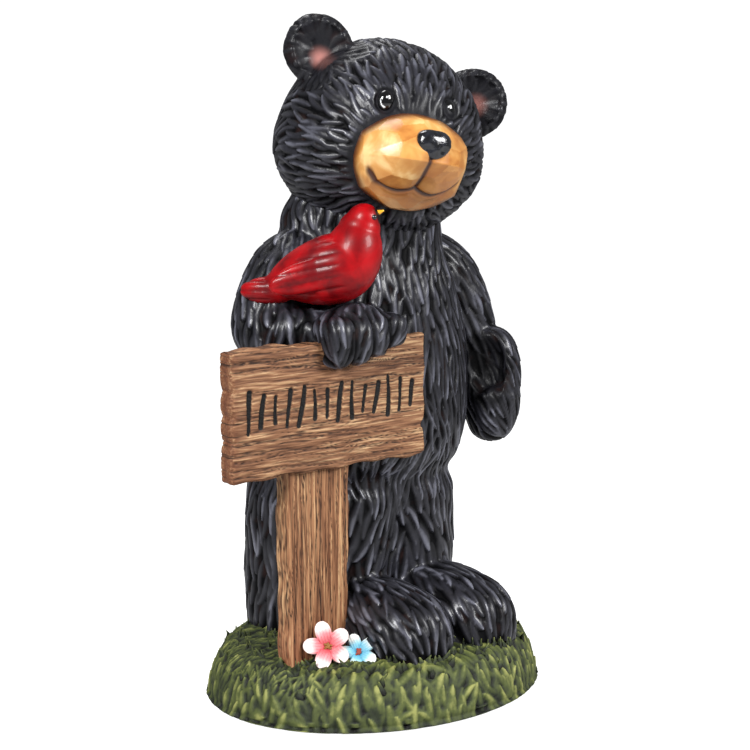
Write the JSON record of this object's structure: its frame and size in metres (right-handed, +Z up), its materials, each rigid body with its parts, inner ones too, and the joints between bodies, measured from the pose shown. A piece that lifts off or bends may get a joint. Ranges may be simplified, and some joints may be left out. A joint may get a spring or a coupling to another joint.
{
  "type": "painted resin garden figure of a black bear with a sign",
  "caption": "Painted resin garden figure: a black bear with carved fur leans on a wooden board sign with a red bird on its arm, on a grass mound with flowers.",
  "frame": {"origin": "middle of the flat underside of the grass mound", "axes": "+Z up, the bear faces -Y, its left side is +X"},
  "size_m": [0.2546, 0.1906, 0.4213],
  "materials": {
    "bear_paint": "cast resin painted black, dry-brushed grey on the carved ridges, satin",
    "grass_paint": "cast resin painted olive green with yellow-green tips, matt",
    "wood_paint": "cast resin painted as weathered brown wood with a dark wash, matt",
    "bird_paint": "cast resin painted red with a dark wash, gloss",
    "pink_paint": "cast resin painted pink with white petal tips, matt",
    "blue_paint": "cast resin painted pale blue with white petal tips, matt"
  },
  "bodies": {
    "root": {"bear": "bear_paint", "grass_mound": "grass_paint", "sign": "wood_paint", "cardinal": "bird_paint", "pink_flower": "pink_paint", "blue_flower": "blue_paint"}
  },
  "joints": []
}
